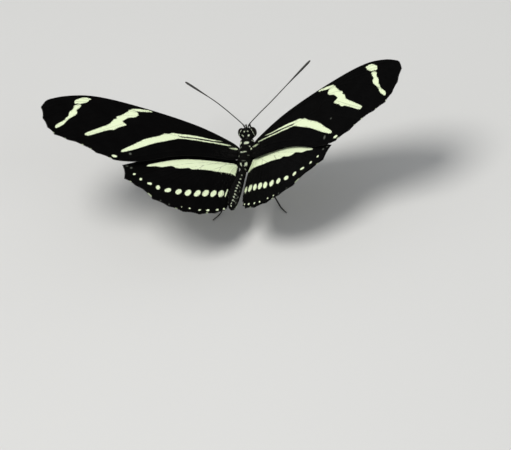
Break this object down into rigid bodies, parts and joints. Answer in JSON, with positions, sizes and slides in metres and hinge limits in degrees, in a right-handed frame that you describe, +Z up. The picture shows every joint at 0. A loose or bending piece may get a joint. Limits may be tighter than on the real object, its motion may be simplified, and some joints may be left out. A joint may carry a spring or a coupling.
{
  "type": "butterfly",
  "caption": "Life-size zebra longwing butterfly standing with its wings half raised; black wings with pale yellow bands.",
  "frame": {"origin": "middle of the outline's box, on the floor", "axes": "+Z up, +Y towards the head, +X to the animal's right"},
  "size_m": [0.0768, 0.0404, 0.0295],
  "materials": {
    "wing": "velvety scales, pale yellow bands",
    "body_scales": "hairy scales, white spots",
    "leg": "scaled, satin",
    "antenna": "fine rings, satin",
    "eye": "glossy"
  },
  "bodies": {
    "root": {"head": "body_scales", "thorax": "body_scales", "abdomen": "body_scales", "palp_left": "body_scales", "palp_right": "body_scales", "eye_left": "eye", "eye_right": "eye", "antenna_left": "antenna", "antenna_right": "antenna", "proboscis": "antenna", "forewing_left": "wing", "forewing_right": "wing", "hindwing_left": "wing", "hindwing_right": "wing", "foreleg_left": "leg", "foreleg_right": "leg", "midleg_left": "leg", "midleg_right": "leg", "hindleg_left": "leg", "hindleg_right": "leg"}
  },
  "joints": []
}
